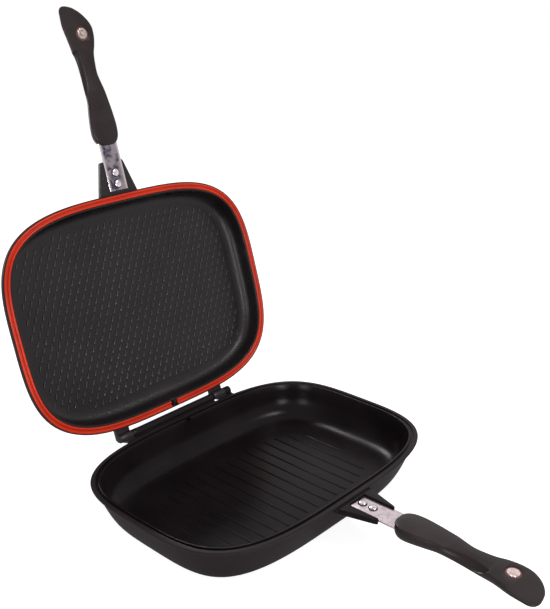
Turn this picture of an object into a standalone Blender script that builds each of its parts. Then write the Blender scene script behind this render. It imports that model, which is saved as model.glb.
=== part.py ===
# A double sided grill pan: a ribbed pan and a lid of the same outline, hinged at the back,
# each with its own steel tang and moulded half grip in front.
# Metres, +Z up. The origin is the middle of the pan's underside, +X runs along the hinge and
# the handles point to -Y. The lid stands open on its stops.

from math import asin, atan2, cos, pi, radians, sin

import bmesh
import bpy
from mathutils import Matrix, Vector

# Driving dimensions: the outline that pan and lid share
rim_half_length = 0.180
rim_half_width = 0.1314
outline_power = 3.46
outline_points = 56
seal_points = 112

# The fit between pieces that touch, and how far a cutter runs past what it cuts
clearance = 0.0003
overrun = 0.004
merge_distance = 0.00001

# Pan casting
pan_height = 0.0440
floor_thickness = 0.0035
base_inset = 0.0229
base_edge = 0.0026
belly_inset = 0.0160
belly_height = 0.0100
neck_inset = 0.0063
neck_drop = 0.0060
flange_under_inset = 0.0022
flange_under_drop = 0.0027
rim_edge_inset = 0.0010
rim_edge_drop = 0.0008
rim_shoulder_inset = 0.0028
wall_inset = 0.0138
wall_knee = 0.0160
fillet_reach = 0.0282
inner_lean = 0.0040
lip_edge = 0.0006

# Rim: the land that meets the seal, the groove behind it and the inner lip
groove_start = 0.0056
groove_width = 0.0037
groove_depth = 0.0017
groove_side = 0.0005
lip_width = 0.0015

# Grill ribs on the pan's floor
rib_count = 16
rib_width = 0.0024
rib_height = 0.0014
rib_sink = 0.0010
rib_top_share = 0.5
grill_end_gap = 0.0600
grill_side_gap = 0.0594
grill_corner = 0.00375
grill_power = 4.0
grill_offset = 0.006

# Hinge
hinge_setback = 0.0076
hinge_rise = 0.0005
open_angle = radians(105.7)
hinge_spacing = 0.1450
hinge_offset = -0.0015
barrel_radius = 0.0060
barrel_length = 0.0180
barrel_gap = 0.0010
foot_length = 0.0065
knuckle_length = 0.0090
knuckle_radius = 0.0054
knuckle_top_drop = 0.0014
knuckle_web_drop = 0.0100
knuckle_root = 0.0032
knuckle_web_root = 0.0085
pin_radius = 0.0026
pin_end_gap = 0.0010
barrel_end_wall = 0.0015
arm_thickness = 0.0056
arm_root = 0.0032
stop_top_drop = 0.0007
stop_height = 0.0020

# Lid casting
lid_gap = 0.0007
lid_depth = 0.0230
lid_thickness = 0.0040
lid_flange_thickness = 0.0060
lid_flange_reach = 0.0056
lid_flange_edge = 0.0021
lid_top_inset = 0.0300
lid_shoulder_inset = 0.0095
lid_wall_inset = 0.0078
lid_wall_height = 0.0130
lid_inner_inset = 0.0126
lid_inner_height = 0.0090
lid_fillet_inset = 0.0280
lid_edge = 0.0006

# Seal and the lug that fills its gap
seal_outer_inset = 0.0022
seal_width = 0.0071
seal_groove_depth = 0.0034
ridge_reach = 0.0009
valley_depth = 0.0008
ridge_width_share = 0.40
seal_gap = 0.0090
lug_width = 0.0050
lug_reach = 0.0014
lug_pocket_width = 0.0084
lug_pocket_depth = 0.0022
lug_pocket_length = 0.0110

# Handle bracket, cast with the pan and with the lid
ear_depth = 0.0029
ear_bottom_depth = 0.0095
ear_tip_rise = 0.0004
bracket_root = 0.0082
bracket_base_half_width = 0.0262
bracket_length = 0.0395
bracket_tip_half_width = 0.0152
bracket_bevel = 0.0012
platform_length = 0.0310

# Tang
tang_width = 0.0250
tang_thickness = 0.0025
tang_depth = 0.0045
tang_start = 0.0026
tang_full_width_in_grip = 0.0120
tang_in_grip = 0.0620
tang_end_width = 0.0110

# Rivets
rivet_first = 0.0102
rivet_pitch = 0.0130
rivet_head_radius = 0.0049
rivet_head_height = 0.0023
rivet_shank_radius = 0.0026
rivet_tail_radius = 0.0042
rivet_tail_height = 0.0016
round_steps = 14
hinge_steps = 20

# Grips
grip_start = 0.0545
grip_body_length = 0.1300
pan_grip_end_length = 0.0305
lid_grip_end_length = 0.0250
grip_half_width = 0.0170
grip_depth = 0.0160
grip_face_gap = 0.0003
grip_droop_start = 0.1000
grip_droop_radius = 0.500

# The lid's handle lies further from the parting plane than the pan's does. Its grip is thinner,
# leans in until it meets the pan's at the magnets, and narrows more towards its end
lid_tang_depth = 0.0056
lid_bracket_drop = 0.0035
lid_bracket_length = 0.0372
lid_grip_depth = 0.0122
lid_grip_thinning = 0.20
lid_grip_face_drop = 0.0029
lid_grip_taper = 0.23
lid_grip_taper_start = 0.90
lid_screw_places = (0.0150, 0.0330)
lid_screw_head_depth = 0.0094

# Scooped side of the grip
scoop_from_end = 0.0485
scoop_half_length = 0.0270
scoop_half_width = 0.0066
scoop_half_depth = 0.0085
scoop_side = 0.0160
scoop_depth = 0.0015

# Magnets near the outer ends of the grips
magnet_from_end = 0.0050
magnet_side = -0.0022
magnet_radius = 0.0065
magnet_thickness = 0.0035
magnet_ring_width = 0.0010
magnet_ring_recess = 0.0005

# Grip screws
screw_places = (0.0230, 0.0490)
screw_head_radius = 0.0036
screw_head_height = 0.0026
screw_head_depth = 0.0115
screw_shank_radius = 0.0020
screw_socket_share = 0.45

# The underside of the open lid's foot at the outer end of a barrel, in barrel radii
foot_line_shares = (
    (-2.00, 0.05),
    (-1.25, -0.05),
    (-0.50, -0.48),
    (0.28, -0.60),
    (0.95, -0.40),
    (2.00, -0.20),
    (2.00, -2.00),
    (-2.00, -2.00),
)

# Along the bracket, from its root in the flange to its tips: place, narrowing and rise
bracket_station_shares = (
    (0.000, 0.00, 0.00),
    (0.160, 0.00, 0.00),
    (0.800, 0.76, 0.00),
    (0.940, 0.93, 0.50),
    (0.985, 1.00, 0.80),
    (1.000, 1.10, 1.00),
)

# Along the grip: place (up to 1 in its body, up to 2 in its end), half width, side shift, depth
grip_station_shares = (
    (0.004, 0.34, 0.00, 0.72),
    (0.015, 0.60, 0.00, 0.90),
    (0.038, 0.80, 0.00, 1.04),
    (0.077, 0.95, 0.00, 1.10),
    (0.123, 1.00, 0.00, 1.10),
    (0.185, 1.00, 0.00, 1.05),
    (0.285, 0.92, 0.00, 0.97),
    (0.385, 0.80, 0.00, 0.91),
    (0.470, 0.75, -0.06, 0.88),
    (0.546, 0.68, -0.15, 0.87),
    (0.623, 0.64, -0.24, 0.86),
    (0.708, 0.70, -0.28, 0.85),
    (0.790, 0.79, -0.29, 0.83),
    (0.860, 0.93, -0.25, 0.79),
    (0.930, 1.06, -0.26, 0.74),
    (1.000, 1.15, -0.33, 0.67),
    (1.200, 1.19, -0.43, 0.53),
    (1.400, 1.15, -0.55, 0.41),
    (1.600, 1.05, -0.70, 0.32),
    (1.780, 0.88, -0.88, 0.25),
    (1.920, 0.61, -1.03, 0.19),
    (1.980, 0.31, -1.13, 0.14),
    (1.998, 0.12, -1.17, 0.11),
)

# Round the grip: side and depth of one half, from the flat face down to the middle of the back
grip_section_shares = (
    (0.90, 0.00),
    (1.00, 0.08),
    (1.00, 0.30),
    (0.95, 0.55),
    (0.81, 0.77),
    (0.56, 0.93),
    (0.20, 1.00),
)

# Places that follow from the sizes above
parting_z = pan_height + hinge_rise
hinge_y = rim_half_width + hinge_setback
lid_face_z = parting_z + lid_gap
lid_top_z = lid_face_z + lid_depth + lid_thickness
lip_start = groove_start + groove_width
inner_edge = lip_start + lip_width
rivet_rows = tuple(-rim_half_width - rivet_first - i * rivet_pitch for i in range(2))
hinge_centres = (
    ("left", hinge_offset - hinge_spacing / 2),
    ("right", hinge_offset + hinge_spacing / 2),
)

scoop_place = grip_body_length - scoop_from_end
magnet_place = grip_body_length - magnet_from_end
grill_half_length = rim_half_length - grill_end_gap
grill_half_width = rim_half_width - grill_side_gap
rib_pitch = 2 * (grill_half_length - grill_corner) / (rib_count - 1)

# Which way depth from the parting plane runs: down into the pan, up into the lid
pan_side = 1
lid_side = -1

# Start from an empty scene
for old in list(bpy.data.objects):
    bpy.data.objects.remove(old, do_unlink=True)

parts = bpy.data.collections.new("grill_pan_with_lid")
cutters = bpy.data.collections.new("cutters")
bpy.context.scene.collection.children.link(parts)
bpy.context.scene.collection.children.link(cutters)

lid_hinge = bpy.data.objects.new("lid_hinge", None)
parts.objects.link(lid_hinge)
lid_hinge.location = (0, hinge_y, parting_z)
lid_hinge.rotation_euler = (-open_angle, 0, 0)


def material(name, colour, roughness, metallic=0.0):
    """A plain Principled material for one part."""
    made = bpy.data.materials.new(name)
    made.use_nodes = True
    shader = made.node_tree.nodes["Principled BSDF"]
    shader.inputs["Base Color"].default_value = (*colour, 1.0)
    shader.inputs["Roughness"].default_value = roughness
    shader.inputs["Metallic"].default_value = metallic
    return made


def add_part(name, mesh, finish, on_lid=False):
    """Link a mesh as a named part. A lid part is drawn closed and swings with the hinge."""
    made = bpy.data.objects.new(name, mesh)
    parts.objects.link(made)
    mesh.materials.clear()
    mesh.materials.append(finish)
    if on_lid:
        made.parent = lid_hinge
        made.location = (0, -hinge_y, -parting_z)
    return made


def add_helper(name, mesh, on_lid=False):
    """Link a mesh that is only cut from, or joined to, a part."""
    made = bpy.data.objects.new(name, mesh)
    cutters.objects.link(made)
    made.hide_render = True
    made.display_type = "WIRE"
    if on_lid:
        made.parent = lid_hinge
        made.location = (0, -hinge_y, -parting_z)
    return made


def boolean(target, helper, operation):
    """Join a helper to a part, or cut it away."""
    step = target.modifiers.new(helper.name, "BOOLEAN")
    step.operation = operation
    step.solver = "EXACT"
    step.object = helper


def smooth(mesh, angle=radians(35)):
    mesh.shade_smooth()
    mesh.set_sharp_from_angle(angle=angle)


def loft(name, sections, closed=False):
    """Skin a row of point loops that have equal counts, and cap the ends unless it is a ring."""
    shape = bmesh.new()
    loops = [[shape.verts.new(point) for point in section] for section in sections]
    pairs = list(zip(loops, loops[1:]))
    if closed:
        pairs.append((loops[-1], loops[0]))
    for near, far in pairs:
        count = len(near)
        for i in range(count):
            j = (i + 1) % count
            shape.faces.new((near[i], near[j], far[j], far[i]))
    if not closed:
        shape.faces.new(loops[0])
        shape.faces.new(loops[-1])
    bmesh.ops.recalc_face_normals(shape, faces=shape.faces)
    mesh = bpy.data.meshes.new(name)
    shape.to_mesh(mesh)
    shape.free()
    return mesh


def outline_at(angle, inset):
    """A point on the shared outline, moved in square to it by the inset."""
    c, s = cos(angle), sin(angle)
    x_share = abs(c) ** (2 / outline_power) * (1 if c >= 0 else -1)
    y_share = abs(s) ** (2 / outline_power) * (1 if s >= 0 else -1)
    slope_x = abs(x_share) ** (outline_power - 1) / rim_half_length * (1 if c >= 0 else -1)
    slope_y = abs(y_share) ** (outline_power - 1) / rim_half_width * (1 if s >= 0 else -1)
    outward = Vector((slope_x, slope_y)).normalized()
    return (
        x_share * rim_half_length - outward.x * inset,
        y_share * rim_half_width - outward.y * inset,
    )


def outline_y(x):
    """How far the shared outline reaches along Y at a place along X."""
    return rim_half_width * (1 - abs(x / rim_half_length) ** outline_power) ** (1 / outline_power)


def rim_ring(inset, z, count=outline_points):
    """One level of a casting or of the seal: the whole outline at an inset and a height."""
    ring = []
    for i in range(count):
        x, y = outline_at(2 * pi * (i + 0.5) / count, inset)
        ring.append((x, y, z))
    return ring


def bend(start, corner, end, steps):
    """Points of a rounded corner between two profile points, without the first."""
    points = []
    for i in range(1, steps + 1):
        t = i / steps
        weights = ((1 - t) ** 2, 2 * t * (1 - t), t * t)
        points.append(tuple(
            weights[0] * a + weights[1] * b + weights[2] * c for a, b, c in zip(start, corner, end)
        ))
    return points


def box(name, low, high):
    """A box between two corners."""
    shape = bmesh.new()
    bmesh.ops.create_cube(shape, size=1.0)
    size = Vector(high) - Vector(low)
    middle = (Vector(high) + Vector(low)) / 2
    bmesh.ops.scale(shape, vec=size, verts=shape.verts)
    bmesh.ops.translate(shape, vec=middle, verts=shape.verts)
    mesh = bpy.data.meshes.new(name)
    shape.to_mesh(mesh)
    shape.free()
    return mesh


def rod(name, start, end, radius):
    """A round rod between two points."""
    axis = Vector(end) - Vector(start)
    shape = bmesh.new()
    bmesh.ops.create_cone(
        shape, cap_ends=True, segments=round_steps, radius1=radius, radius2=radius, depth=axis.length
    )
    turn = Vector((0, 0, 1)).rotation_difference(axis).to_matrix().to_4x4()
    place = Matrix.Translation((Vector(start) + Vector(end)) / 2)
    bmesh.ops.transform(shape, matrix=place @ turn, verts=shape.verts)
    mesh = bpy.data.meshes.new(name)
    shape.to_mesh(mesh)
    shape.free()
    return mesh


def slab(name, outline, thickness, place):
    """A flat outline drawn as a filled curve, given a thickness, placed and made a mesh."""
    curve = bpy.data.curves.new(name, "CURVE")
    curve.dimensions = "2D"
    curve.fill_mode = "BOTH"
    curve.extrude = thickness / 2
    spline = curve.splines.new("POLY")
    spline.points.add(len(outline) - 1)
    for point, (u, v) in zip(spline.points, outline):
        point.co = (u, v, 0, 1)
    spline.use_cyclic_u = True
    drawn = bpy.data.objects.new(name, curve)
    cutters.objects.link(drawn)
    bpy.context.view_layer.update()
    evaluated = drawn.evaluated_get(bpy.context.evaluated_depsgraph_get())
    mesh = bpy.data.meshes.new_from_object(evaluated)
    shape = bmesh.new()
    shape.from_mesh(mesh)
    bmesh.ops.remove_doubles(shape, verts=shape.verts, dist=merge_distance)
    bmesh.ops.transform(shape, matrix=place, verts=shape.verts)
    bmesh.ops.recalc_face_normals(shape, faces=shape.faces)
    shape.to_mesh(mesh)
    shape.free()
    bpy.data.objects.remove(drawn, do_unlink=True)
    return mesh


def across(x):
    """Place a slab that is drawn in Y and Z, with its middle at x."""
    return Matrix.Translation((x, 0, 0)) @ Matrix(((0, 0, 1, 0), (1, 0, 0, 0), (0, 1, 0, 0), (0, 0, 0, 1)))


def add_turned(name, profile, place, finish, side, tilt=0.0):
    """A round part: a profile of radius and depth, spun about its own axis at one place."""
    mesh = bpy.data.meshes.new(name)
    points = [(radius, 0, -depth) for radius, depth in profile]
    edges = [(i, i + 1) for i in range(len(points) - 1)]
    if profile[0][0] > 0:
        edges.append((len(points) - 1, 0))
    mesh.from_pydata(points, edges, [])
    made = add_part(name, mesh, finish)
    spin = made.modifiers.new("Spin", "SCREW")
    spin.axis = "Z"
    spin.steps = round_steps
    spin.render_steps = round_steps
    spin.use_merge_vertices = True
    spin.merge_threshold = merge_distance
    spin.use_smooth_shade = True
    made.location = place
    made.rotation_euler = (tilt, 0, 0)
    if side == lid_side:
        made.rotation_euler = (pi + tilt, 0, 0)
        made.parent = lid_hinge
        made.location = Vector(place) - Vector((0, hinge_y, parting_z))
    return made


# Sections of the castings, from the middle of the outside round to the middle of the inside

def pan_profile():
    neck = (neck_inset, pan_height - neck_drop)
    under = (flange_under_inset, pan_height - flange_under_drop)
    edge = (rim_edge_inset, pan_height - rim_edge_drop)
    groove_z = pan_height - groove_depth
    knee_z = pan_height - wall_knee
    points = [(base_inset + base_edge, 0), (base_inset, base_edge * 0.4)]
    points += bend(points[-1], (belly_inset, belly_height), neck, 6)
    points += bend(neck, (neck_inset - rim_edge_inset, (neck[1] + under[1]) / 2), under, 3)
    points += bend(under, (rim_edge_inset, (under[1] + edge[1]) / 2), edge, 2)
    points += bend(edge, (rim_edge_inset, pan_height), (rim_shoulder_inset, pan_height), 2)
    points.append((groove_start, pan_height))
    points.append((groove_start + groove_side, groove_z))
    points.append((lip_start - groove_side, groove_z))
    points.append((lip_start, pan_height))
    points.append((inner_edge, pan_height))
    points.append((inner_edge + lip_edge, pan_height - lip_edge))
    points.append((wall_inset, knee_z))
    foot = (wall_inset + inner_lean, floor_thickness)
    points += bend(points[-1], foot, (wall_inset + fillet_reach, floor_thickness), 7)
    return points


def lid_profile():
    top = lid_top_z
    flange_z = lid_face_z + lid_flange_thickness
    wall_z = lid_face_z + lid_wall_height
    floor_z = lid_face_z + lid_depth
    points = [(lid_top_inset, top)]
    points += bend(points[-1], (lid_shoulder_inset, top), (lid_wall_inset, wall_z), 5)
    neck = (lid_flange_reach, flange_z)
    edge = (rim_edge_inset, flange_z - lid_flange_edge)
    points += bend(points[-1], (lid_flange_reach, flange_z + lid_flange_edge), neck, 2)
    points.append((rim_edge_inset + lid_flange_edge, flange_z))
    points += bend(points[-1], (rim_edge_inset, flange_z), edge, 2)
    points += bend(edge, (rim_edge_inset, lid_face_z), (rim_edge_inset + lid_edge, lid_face_z), 2)
    points.append((inner_edge, lid_face_z))
    points.append((inner_edge + lip_edge, lid_face_z + lip_edge))
    points.append((lid_inner_inset, lid_face_z + lid_inner_height))
    foot = (lid_inner_inset + lip_edge, floor_z)
    points += bend(points[-1], foot, (lid_fillet_inset, floor_z), 6)
    return points


def seal_profile():
    top = lid_face_z + seal_groove_depth - clearance
    tip = lid_face_z - ridge_reach
    shoulder = lid_face_z - ridge_reach * 0.3
    valley = tip + valley_depth
    ridge = seal_width * ridge_width_share
    inner = seal_outer_inset + seal_width
    near = seal_outer_inset
    return [
        (near, top),
        (near, shoulder + ridge_reach * 0.4),
        (near + ridge * 0.20, shoulder),
        (near + ridge * 0.50, tip),
        (near + ridge * 0.80, shoulder),
        (near + ridge, valley),
        (inner - ridge, valley),
        (inner - ridge * 0.80, shoulder),
        (inner - ridge * 0.50, tip),
        (inner - ridge * 0.20, shoulder),
        (inner, shoulder + ridge_reach * 0.4),
        (inner, top),
    ]


def seal_mesh():
    """The seal: its section drawn along the outline, with square ends on both sides of the gap."""
    levels = [rim_ring(inset, z, seal_points) for inset, z in seal_profile()]
    first = seal_points // 4
    order = [(first + i) % seal_points for i in range(seal_points)]
    sections = [[level[i] for level in levels] for i in order]
    ends = []
    for x in (-seal_gap / 2, seal_gap / 2):
        end = []
        for left, right in zip(sections[0], sections[-1]):
            share = (x - left[0]) / (right[0] - left[0])
            end.append(Vector(left).lerp(Vector(right), share))
        ends.append(end)
    return loft("lid_seal", [ends[0]] + sections + [ends[1]])


def turned_open(y, z):
    """Where a point of the open lid, given from the hinge axis, lies while the lid is closed."""
    c, s = cos(open_angle), sin(open_angle)
    return (hinge_y + y * c - z * s, parting_z + y * s + z * c)


def hinge_span(centre):
    """The ends along X of one hinge's barrel and of its knuckle."""
    start = centre - (barrel_length + barrel_gap + knuckle_length) / 2
    middle = start + barrel_length
    return start, middle, middle + barrel_gap, middle + barrel_gap + knuckle_length


def eye_arc(radius, start, end):
    """Points round the hinge axis, from one angle to another, as Y and Z."""
    steps = max(2, round(abs(end - start) / (2 * pi) * hinge_steps))
    turns = [start + (end - start) * i / steps for i in range(steps + 1)]
    return [(hinge_y + radius * cos(a), parting_z + radius * sin(a)) for a in turns]


def angle_of(y, z):
    """The direction of a point from the hinge axis."""
    return atan2(z - parting_z, y - hinge_y)


def join_knuckle(pan, label, centre):
    """One pan knuckle: a round eye on a web that runs under the flange."""
    _, _, start, end = hinge_span(centre)
    near_y = outline_y(max(abs(start), abs(end)))
    root_y = near_y - knuckle_root
    web_top = pan_height - knuckle_top_drop
    outline = [(root_y, web_top), (rim_half_width, web_top)]
    outline += eye_arc(knuckle_radius, angle_of(rim_half_width, web_top) + 2 * pi, -pi / 2)
    outline.append((near_y - knuckle_web_root, pan_height - knuckle_web_drop))
    knuckle = slab("knuckle_" + label, outline, end - start, across((start + end) / 2))
    boolean(pan, add_helper("knuckle_" + label, knuckle), "UNION")
    bore = rod("knuckle_bore_" + label, (start - overrun, hinge_y, parting_z),
               (end + overrun, hinge_y, parting_z), pin_radius + clearance)
    boolean(pan, add_helper("knuckle_bore_" + label, bore), "DIFFERENCE")


def join_barrel(lid, label, centre):
    """One lid barrel on its arm, with a foot at its outer end and the heel that is the stop."""
    start, end, _, _ = hinge_span(centre)
    root_y = outline_y(max(abs(start), abs(end))) - rim_edge_inset - arm_root
    arm_floor = lid_face_z + clearance
    stop_y = outline_y(min(abs(start), abs(end))) - rim_edge_inset + clearance - hinge_y
    heel_near = turned_open(stop_y, -stop_top_drop)
    heel_far = turned_open(stop_y, -stop_top_drop - stop_height)
    heel_back = angle_of(*turned_open(0, -barrel_radius))
    outline = [(root_y, lid_face_z + arm_thickness)]
    outline += eye_arc(barrel_radius, pi / 2, heel_back)
    outline += [heel_far, heel_near]
    arm_angle = pi - asin((arm_floor - parting_z) / barrel_radius)
    outline += eye_arc(barrel_radius, angle_of(*heel_near), arm_angle - 2 * pi)
    outline.append((root_y, arm_floor))
    barrel = slab("barrel_" + label, outline, end - start, across((start + end) / 2))
    boolean(lid, add_helper("barrel_" + label, barrel, True), "UNION")
    foot_line = [turned_open(y * barrel_radius, z * barrel_radius) for y, z in foot_line_shares]
    foot_middle = start + (foot_length - overrun) / 2
    foot = slab("foot_" + label, foot_line, foot_length + overrun, across(foot_middle))
    boolean(lid, add_helper("foot_" + label, foot, True), "DIFFERENCE")
    bore = rod("barrel_bore_" + label, (start + foot_length + barrel_end_wall, hinge_y, parting_z),
               (end + overrun, hinge_y, parting_z), pin_radius + clearance)
    boolean(lid, add_helper("barrel_bore_" + label, bore, True), "DIFFERENCE")


def join_bracket(body, side):
    """The handle bracket: two ears that taper to points, with a seat for the tang between them."""
    on_lid = side == lid_side
    label = "lid" if on_lid else "pan"
    length = lid_bracket_length if on_lid else bracket_length
    drop = lid_bracket_drop if on_lid else 0
    bottom = ear_bottom_depth + drop
    sections = []
    for place_share, narrow_share, rise_share in bracket_station_shares:
        y = bracket_root - rim_half_width - place_share * (bracket_root + length)
        half = bracket_base_half_width
        half -= narrow_share * (bracket_base_half_width - bracket_tip_half_width)
        near = ear_depth + drop
        far = bottom - rise_share * ear_tip_rise
        corners = ((half - bracket_bevel, near), (half, near + bracket_bevel),
                   (half, far - bracket_bevel), (half - bracket_bevel, far))
        section = [(x, y, parting_z - side * depth) for x, depth in corners]
        section += [(-x, y, parting_z - side * depth) for x, depth in reversed(corners)]
        sections.append(section)
    blank = loft("bracket_" + label, sections)
    boolean(body, add_helper("bracket_" + label, blank, on_lid), "UNION")
    channel_half = tang_width / 2 + clearance
    channel_y = clearance - rim_half_width - tang_start
    seat = (lid_tang_depth if on_lid else tang_depth) + tang_thickness + clearance
    far_y = -rim_half_width - length - overrun
    cuts = (
        ("channel_" + label, channel_y, 0, seat),
        ("fork_" + label, -rim_half_width - platform_length, 0, bottom + overrun),
    )
    for name, near_y, near_depth, far_depth in cuts:
        heights = sorted((parting_z - side * near_depth, parting_z - side * far_depth))
        block = box(name, (-channel_half, far_y, heights[0]), (channel_half, near_y, heights[1]))
        boolean(body, add_helper(name, block, on_lid), "DIFFERENCE")
    for name, y in zip(("inner", "outer"), rivet_rows):
        name = "rivet_hole_" + label + "_" + name
        hole = rod(name, (0, y, parting_z), (0, y, parting_z - side * (bottom + overrun)),
                   rivet_shank_radius + clearance)
        boolean(body, add_helper(name, hole, on_lid), "DIFFERENCE")


def tang_outline(margin):
    """The tang's plan, grown by a margin: full width in the bracket, narrow inside the grip."""
    near = -rim_half_width - tang_start + margin
    full = -rim_half_width - grip_start - tang_full_width_in_grip - margin
    taper = full - (tang_width - tang_end_width)
    end = -rim_half_width - grip_start - tang_in_grip - margin
    wide = tang_width / 2 + margin
    narrow = tang_end_width / 2 + margin
    right = ((wide, near), (wide, full), (narrow, taper), (narrow, end))
    return list(right) + [(-x, y) for x, y in reversed(right)]


def droop(distance):
    """How far the parting surface between the grips has curved down at a distance along them."""
    return max(0, distance - grip_droop_start) ** 2 / (2 * grip_droop_radius)


def face_drop(distance):
    """How far the lid's grip stands off the parting surface at a distance along it."""
    return lid_grip_face_drop * max(0, 1 - distance / magnet_place)


def grip_mesh(name, side, end_length):
    """The grip: a half round bar with a flat face, waisted, swollen and hooked at its end."""
    on_lid = side == lid_side
    full_depth = lid_grip_depth if on_lid else grip_depth
    half_section = list(grip_section_shares)
    sections = []
    for place_share, width_share, shift_share, depth_share in grip_station_shares:
        distance = min(place_share, 1) * grip_body_length + max(place_share - 1, 0) * end_length
        y = -rim_half_width - grip_start - distance
        half = width_share * grip_half_width
        middle = shift_share * grip_half_width
        depth = depth_share * full_depth
        face_z = parting_z - droop(distance) - side * grip_face_gap
        if on_lid:
            half *= 1 - lid_grip_taper * max(0, place_share - lid_grip_taper_start)
            depth *= 1 - lid_grip_thinning * place_share
            face_z += face_drop(distance)
        right = [(middle + x * half, y, face_z - side * z * depth) for x, z in half_section]
        left = [(middle - x * half, y, face_z - side * z * depth) for x, z in reversed(half_section)]
        sections.append(right + left)
    return loft(name, sections)


def add_handle(side, end_length):
    """Everything that one handle carries beyond its bracket."""
    on_lid = side == lid_side
    label = "lid" if on_lid else "pan"
    tang_near = lid_tang_depth if on_lid else tang_depth
    bottom = ear_bottom_depth + (lid_bracket_drop if on_lid else 0)
    tang_z = parting_z - side * (tang_near + tang_thickness / 2)
    at_tang = Matrix.Translation((0, 0, tang_z))
    tang = add_part(label + "_tang", slab(label + "_tang", tang_outline(0), tang_thickness, at_tang),
                    steel, on_lid)
    pocket_thickness = tang_thickness + 2 * clearance
    pocket_outline = tang_outline(clearance)
    pocket = slab("tang_pocket_" + label, pocket_outline, pocket_thickness, at_tang)
    grip = add_part(label + "_grip", grip_mesh(label + "_grip", side, end_length), grip_plastic, on_lid)
    smooth(grip.data)
    boolean(grip, add_helper("tang_pocket_" + label, pocket, on_lid), "DIFFERENCE")

    scoop = bmesh.new()
    bmesh.ops.create_uvsphere(scoop, u_segments=16, v_segments=10, radius=1.0)
    scoop_size = (scoop_half_width, scoop_half_length, scoop_half_depth)
    bmesh.ops.scale(scoop, vec=scoop_size, verts=scoop.verts)
    scoop_z = parting_z - side * scoop_depth + (face_drop(scoop_place) if on_lid else 0)
    scoop_centre = (-scoop_side, -rim_half_width - grip_start - scoop_place, scoop_z)
    bmesh.ops.translate(scoop, vec=scoop_centre, verts=scoop.verts)
    scoop_mesh = bpy.data.meshes.new("scoop_" + label)
    scoop.to_mesh(scoop_mesh)
    scoop.free()
    scoop_mesh.shade_smooth()
    boolean(grip, add_helper("scoop_" + label, scoop_mesh, on_lid), "DIFFERENCE")

    # Rivets, with their heads on the tang and their tails under the bracket's seat
    head = tang_near - clearance
    tail = bottom + clearance
    rivet_profile = (
        (0, head - rivet_head_height),
        (rivet_head_radius * 0.40, head - rivet_head_height * 0.93),
        (rivet_head_radius * 0.75, head - rivet_head_height * 0.68),
        (rivet_head_radius * 0.96, head - rivet_head_height * 0.30),
        (rivet_head_radius, head),
        (rivet_shank_radius, head),
        (rivet_shank_radius, tail),
        (rivet_tail_radius, tail),
        (rivet_tail_radius * 0.85, tail + rivet_tail_height),
        (0, tail + rivet_tail_height),
    )
    for place, y in zip(("inner", "outer"), rivet_rows):
        add_turned(label + "_rivet_" + place, rivet_profile, (0, y, parting_z), steel, side)
        hole = rod("tang_hole_" + label + "_" + place, (0, y, parting_z),
                   (0, y, parting_z - side * tail), rivet_shank_radius + clearance)
        boolean(tang, add_helper("tang_hole_" + label + "_" + place, hole, on_lid), "DIFFERENCE")

    # Magnet and its ring, let into the flat face and square to it where the face has curved down
    tilt = asin(max(0, magnet_place - grip_droop_start) / grip_droop_radius)
    magnet_middle = Vector((
        magnet_side,
        -rim_half_width - grip_start - magnet_place,
        parting_z - droop(magnet_place),
    ))
    magnet_axis = Vector((0, -sin(tilt), cos(tilt))) * side
    magnet_back = grip_face_gap + magnet_thickness
    magnet_profile = (
        (0, grip_face_gap),
        (magnet_radius * 0.94, grip_face_gap),
        (magnet_radius, grip_face_gap + magnet_radius * 0.06),
        (magnet_radius, magnet_back),
        (0, magnet_back),
    )
    add_turned(label + "_magnet", magnet_profile, magnet_middle, magnet_metal, side, tilt)
    ring_inner = magnet_radius + clearance
    ring_outer = ring_inner + magnet_ring_width
    ring_profile = (
        (ring_outer, grip_face_gap + magnet_ring_recess),
        (ring_outer, magnet_back),
        (ring_inner, magnet_back),
        (ring_inner, grip_face_gap + magnet_ring_recess),
    )
    add_turned(label + "_magnet_ring", ring_profile, magnet_middle, ring_plastic, side, tilt)
    seat = rod("magnet_seat_" + label, magnet_middle + magnet_axis * overrun,
               magnet_middle - magnet_axis * (magnet_back + clearance), ring_outer + clearance)
    boolean(grip, add_helper("magnet_seat_" + label, seat, on_lid), "DIFFERENCE")

    # Screws, driven from the back of the grip into the tang
    tip = tang_near + clearance
    head_depth = lid_screw_head_depth if on_lid else screw_head_depth
    screw_profile = (
        (0, tip),
        (screw_shank_radius, tip),
        (screw_shank_radius, head_depth),
        (screw_head_radius, head_depth),
        (screw_head_radius, head_depth + screw_head_height * 0.6),
        (screw_head_radius * 0.8, head_depth + screw_head_height),
        (screw_head_radius * screw_socket_share, head_depth + screw_head_height),
        (screw_head_radius * screw_socket_share, head_depth + screw_head_height * 0.4),
        (0, head_depth + screw_head_height * 0.4),
    )
    for place, distance in zip(("front", "rear"), lid_screw_places if on_lid else screw_places):
        y = -rim_half_width - grip_start - distance
        name = label + "_grip_screw_" + place
        add_turned(name, screw_profile, (0, y, parting_z), steel, side)
        back = parting_z - side * (2 * grip_depth)
        bore = rod("screw_bore_" + name, (0, y, parting_z - side * tang_near), (0, y, back),
                   screw_shank_radius + clearance)
        sink = rod("screw_sink_" + name, (0, y, parting_z - side * (head_depth - clearance)),
                   (0, y, back), screw_head_radius + clearance)
        thread = rod("tang_thread_" + name, (0, y, parting_z), (0, y, back),
                     screw_shank_radius + clearance)
        boolean(grip, add_helper("screw_bore_" + name, bore, on_lid), "DIFFERENCE")
        boolean(grip, add_helper("screw_sink_" + name, sink, on_lid), "DIFFERENCE")
        boolean(tang, add_helper("tang_thread_" + name, thread, on_lid), "DIFFERENCE")


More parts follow.
